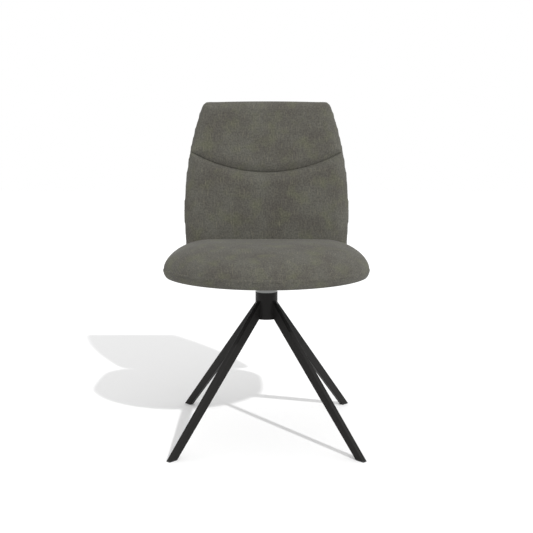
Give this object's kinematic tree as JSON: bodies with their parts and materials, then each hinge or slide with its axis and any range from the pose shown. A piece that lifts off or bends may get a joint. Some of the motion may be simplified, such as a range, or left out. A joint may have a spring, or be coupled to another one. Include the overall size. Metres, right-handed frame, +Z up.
{
  "type": "swivel dining chair",
  "caption": "Armless swivel dining chair: domed D-shaped seat, leaned-back upholstered back with a curved seam, and straight splayed legs on a short column.",
  "frame": {"origin": "on the floor, on the swivel axis, midway between the feet", "axes": "+Z up along the swivel axis; the sitter faces -Y, and right in a name is +X, as seen from the front"},
  "size_m": [0.512, 0.5279, 0.8611],
  "materials": {
    "steel_black": "satin black powder coat",
    "steel_zinc": "bright zinc plate",
    "plastic_black": "matt moulded plastic",
    "plastic_natural": "natural bearing plastic",
    "plywood": "raw plywood",
    "foam": null,
    "upholstery": "mottled taupe chenille over soft foam",
    "lining": "black non-woven lining"
  },
  "bodies": {
    "base": {"column_tube": "steel_black", "column_cap": "plastic_black", "bearing_cup": "steel_zinc", "upper_bush": "plastic_natural", "lower_bush": "plastic_natural", "leg_front_left": "steel_black", "foot_glide_front_left": "plastic_black", "leg_front_right": "steel_black", "foot_glide_front_right": "plastic_black", "leg_rear_left": "steel_black", "foot_glide_rear_left": "plastic_black", "leg_rear_right": "steel_black", "foot_glide_rear_right": "plastic_black"},
    "seat": {"spindle": "steel_zinc", "spindle_hub": "steel_black", "retaining_ring": "steel_zinc", "seat_plate": "steel_black", "plate_bolts": "steel_zinc", "threaded_inserts": "steel_zinc", "seat_lining": "lining", "seat_board": "plywood", "seat_core": "foam", "seat_pad_top": "upholstery", "seat_pad_band": "upholstery", "back_bracket_left": "steel_black", "back_bracket_right": "steel_black", "seat_bracket_screws": "steel_zinc", "back_bracket_screws": "steel_zinc", "back_board": "plywood", "back_core_lower": "foam", "back_core_upper": "foam", "back_pad_lower": "upholstery", "back_pad_upper": "upholstery", "back_pad_rear": "upholstery"}
  },
  "joints": [
    {"name": "seat_swivel", "type": "hinge", "parent": "base", "child": "seat", "pos_m": [0, 0, 0.381], "axis": [0, 0, 1], "continuous": true}
  ]
}
